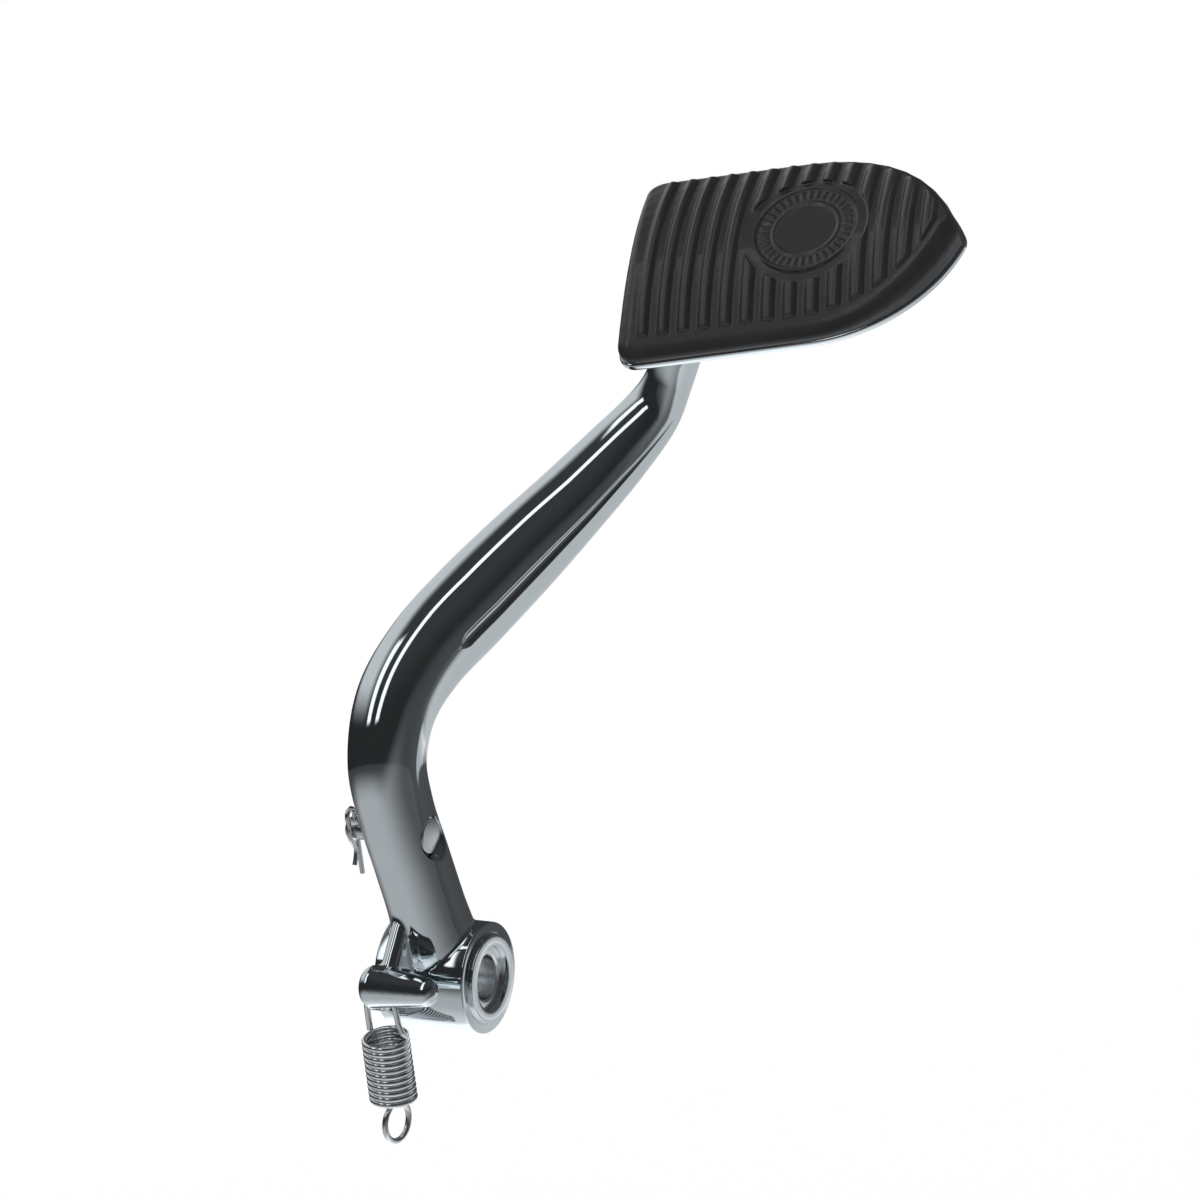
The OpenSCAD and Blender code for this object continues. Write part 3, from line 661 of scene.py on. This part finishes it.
# The return spring is close-wound from hard-drawn wire.
# Its upper end is a hook over the ear, and its lower end a loop for the bike's frame.
SPRING_WIRE, COIL_R, TURNS, COIL_TURN_STEPS = 1.65, 5.675, 11.3, 28
HOOK_R, HOOK_DROP, HANG_Z = 4.3, 12.4, 2.062
LOOP_R, LOOP_GAP, LOOP_TURN = 5.3, 0.5, math.radians(82)
COIL_START, LOOP_START, LOOP_STEP, LOOP_POINTS = math.radians(10), 52, 8, 40
coil_top = HANG_Z - HOOK_DROP
loop_mid = coil_top - TURNS * SPRING_WIRE - LOOP_R - SPRING_WIRE / 2 - LOOP_GAP
over_ear = [math.radians(180 - 12 * i) for i in range(16)]
hook = (
    [(-HOOK_R, 0, coil_top + 1.6), (-HOOK_R, 0, (coil_top + HANG_Z - HOOK_R) / 2)]
    + [(HOOK_R * math.cos(a), 0, HANG_Z - HOOK_R + HOOK_R * math.sin(a)) for a in over_ear]
    + [(HOOK_R + 0.3, -0.1, coil_top + 4.4), (COIL_R - 0.4, -0.2, coil_top + 1.9)]
)
coil = []
for i in range(round(TURNS * COIL_TURN_STEPS) + 1):
    a = COIL_START + i * 2 * math.pi / COIL_TURN_STEPS
    height = coil_top - i * SPRING_WIRE / COIL_TURN_STEPS
    coil.append((COIL_R * math.cos(a), COIL_R * math.sin(a), height))
loop = []
for i in range(LOOP_POINTS):
    a = math.radians(LOOP_START - LOOP_STEP * i)
    reach = LOOP_R * math.cos(a)
    height = loop_mid + LOOP_R * math.sin(a)
    loop.append((reach * math.cos(LOOP_TURN), reach * math.sin(LOOP_TURN), height))
spring_points = [(EAR[0] + x, EAR[1] + y, z) for x, y, z in hook + coil + loop]
spring = bent_wire("return_spring_wire", spring_points, SPRING_WIRE)
wire_steel = Finish("drawn_spring_wire", Metallic=1.0, Base_Color=(0.86, 0.87, 0.89, 1))
wire_steel.feed("Roughness", wire_steel.noise(2, 3) * 0.12 + 0.12)
wire_steel.bump(wire_steel.noise(0.4, 2), 0.004)
wire_steel.on(spring)
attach(spring, "return_spring")
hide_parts("return_spring")

# The floor is a wide white sheet well below the part.
# Glossy rays don't see it: shiny surfaces see the room that the last section draws.
FLOOR_HALF, FLOOR_Z = 6000, -0.3
white = Finish("studio_white", Base_Color=(1, 1, 1, 1), Roughness=0.9, Specular_IOR_Level=0)
floor_sheet = bmesh.new()
bmesh.ops.create_grid(floor_sheet, x_segments=1, y_segments=1, size=FLOOR_HALF)
floor = made("floor", floor_sheet)
floor.location.z = FLOOR_Z
floor.visible_glossy = False
white.on(floor)

# The camera stands at the photograph's viewing angle.
# Its lens is so long that parallel lines stay parallel.
PICTURE_PX, PX_PER_MM = 1200, 3.76
AIM_RIGHT, AIM_UP, CAMERA_AWAY = 41.36, 99.2, 1.2
BACK = Vector((0.4652, -0.7757, 0.4271)).normalized()
RIGHT = Vector((0.880, 0.459, -0.125))
RIGHT = (RIGHT - BACK * RIGHT.dot(BACK)).normalized()
UP = BACK.cross(RIGHT)
camera_data = bpy.data.cameras.new("camera")
camera_data.type = "ORTHO"
camera_data.ortho_scale = PICTURE_PX / PX_PER_MM / 1000
camera = bpy.data.objects.new("camera", camera_data)
bpy.context.scene.collection.objects.link(camera)
aim = (RIGHT * AIM_RIGHT + UP * AIM_UP) / 1000
turn = Matrix((RIGHT, UP, BACK)).transposed().to_4x4()
camera.matrix_world = Matrix.Translation(aim + BACK * CAMERA_AWAY) @ turn
bpy.context.scene.camera = camera
bpy.context.scene.view_settings.view_transform = "Standard"

# A plain white world lights the part and is its background. Only glossy rays see a drawn room:
# a dark wall, a light table, a lamp at the upper left, two bright lines and a few small cards.
# Across and above are those of the normal that would mirror a direction to the photograph's side.
NEVER_ZERO = 0.0001
CARD_LIGHT, LAMP_LIGHT, LINE_LIGHT, FACE_LIGHT, GLOW_LIGHT = 0.48, 0.6, 1.3, 0.42, 0.045
world = bpy.data.worlds.new("studio")
bpy.context.scene.world = world
world.use_nodes = True
room = Nodes(world.node_tree)
direction = room.node("TexCoord", output="Generated")


def part_along(axis):
    """How far a direction points along an axis."""
    inputs = {0: direction, 1: tuple(axis)}
    return room.node("VectorMath", {"operation": "DOT_PRODUCT"}, inputs, output="Value")


def rise(value, start, end):
    """From 0 to 1, softly, as the value goes from start to end."""
    inputs = {"Value": value, "From Min": start, "From Max": end}
    return room.node("MapRange", {"interpolation_type": "SMOOTHSTEP"}, inputs)


def strip(value, low, high, soft):
    """1 between two values and 0 outside them, with soft edges."""
    return rise(value, low - soft, low + soft) - rise(value, high - soft, high + soft)


spread = room.node("Math", {"operation": "SQRT"}, {0: part_along(BACK) * 2 + (2 + NEVER_ZERO)})
across, above = part_along(RIGHT) / spread, part_along(UP) / spread
bow = across + above * above * -0.45
near_wall = 0.022 + rise(above, 0.1, 0.5) * 0.02
skirting = (1 - rise(above, -0.125, -0.11)) * 0.035
table_light = 0.42 - rise(across, -0.35, 0.72) * 0.4 + rise(above * -1, 0.5, 0.85) * 0.3
table_edge = rise(above * -1 + rise(across, -0.1, 0.7) * 0.4, 0.14, 0.44)
table = table_edge * table_light * (1 - rise(across * -1, 0.72, 0.97) * 0.85)
right_card = rise(across * 0.6 - above, 0.6, 0.7) * CARD_LIGHT
lamp_edge = rise(bow * -1, 0.5, 0.66) * rise(above, 0.15, 0.42)
lamp = lamp_edge * (1 - rise(bow * -1, 0.9, 0.97)) * LAMP_LIGHT
long_line = strip(bow, -0.31, -0.22, 0.012) * strip(above, 0.16, 0.74, 0.02)
short_line = strip(bow, -0.52, -0.44, 0.012) * strip(above, 0.17, 0.6, 0.02)
lines = (long_line + short_line) * LINE_LIGHT
side_glow = rise(across, 0.5, 0.8) * (1 - rise(above * -1, 0.2, 0.34)) * GLOW_LIGHT
face_card = strip(across, 0.82, 0.93, 0.01) * strip(above, -0.14, -0.06, 0.01) * FACE_LIGHT
level = near_wall + skirting + table + side_glow + right_card + lamp + lines + face_card
glossy = room.node("LightPath", output="Is Glossy Ray")
drawn_room = room.node("Background", {}, {"Color": (0.96, 0.98, 1, 1), "Strength": level})
plain_white = room.node("Background", {}, {"Color": (1, 1, 1, 1), "Strength": 1.0})
mixed = room.node("MixShader", {}, {0: glossy, 1: plain_white, 2: drawn_room})
room.tree.links.new(mixed.socket, room.tree.nodes["World Output"].inputs["Surface"])

bpy.context.view_layer.update()
